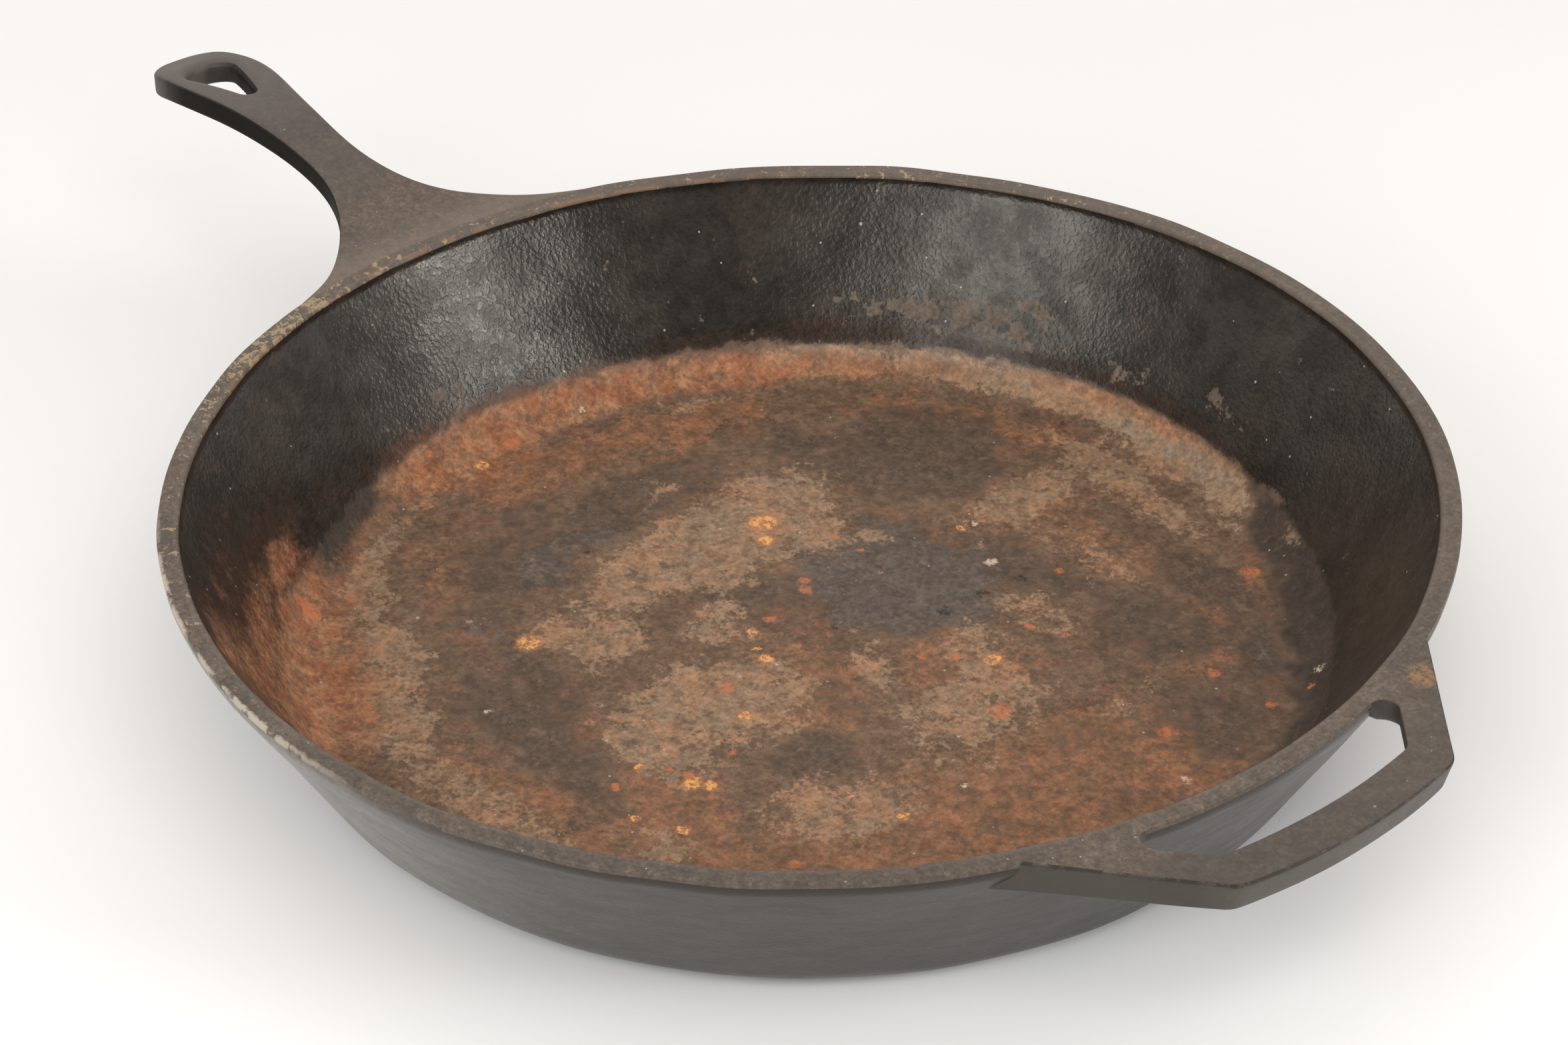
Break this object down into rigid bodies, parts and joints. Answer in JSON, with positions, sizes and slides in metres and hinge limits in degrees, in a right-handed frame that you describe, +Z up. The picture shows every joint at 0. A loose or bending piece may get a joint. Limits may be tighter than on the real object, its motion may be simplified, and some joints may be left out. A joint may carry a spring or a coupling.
{
  "type": "cast iron skillet",
  "caption": "Round cast iron skillet with straight sloping walls, a rising main handle with a teardrop hanging eye, and an open helper handle opposite.",
  "frame": {"origin": "centre of the flat underside, on the bowl's axis", "axes": "+Z up out of the bowl, +X towards the helper handle, so the main handle points along -X"},
  "size_m": [0.476, 0.32, 0.064],
  "materials": {
    "cooking_floor": "worn seasoning with rust ring and mottled patches",
    "side_wall": "seasoned, semi-gloss, fine pebbled casting grain",
    "rim": "matte, worn pale along its edges",
    "main_handle": "matte",
    "helper_handle": "matte"
  },
  "bodies": {
    "root": {"cooking_floor": "cooking_floor", "side_wall": "side_wall", "rim": "rim", "main_handle": "main_handle", "helper_handle": "helper_handle"}
  },
  "joints": []
}
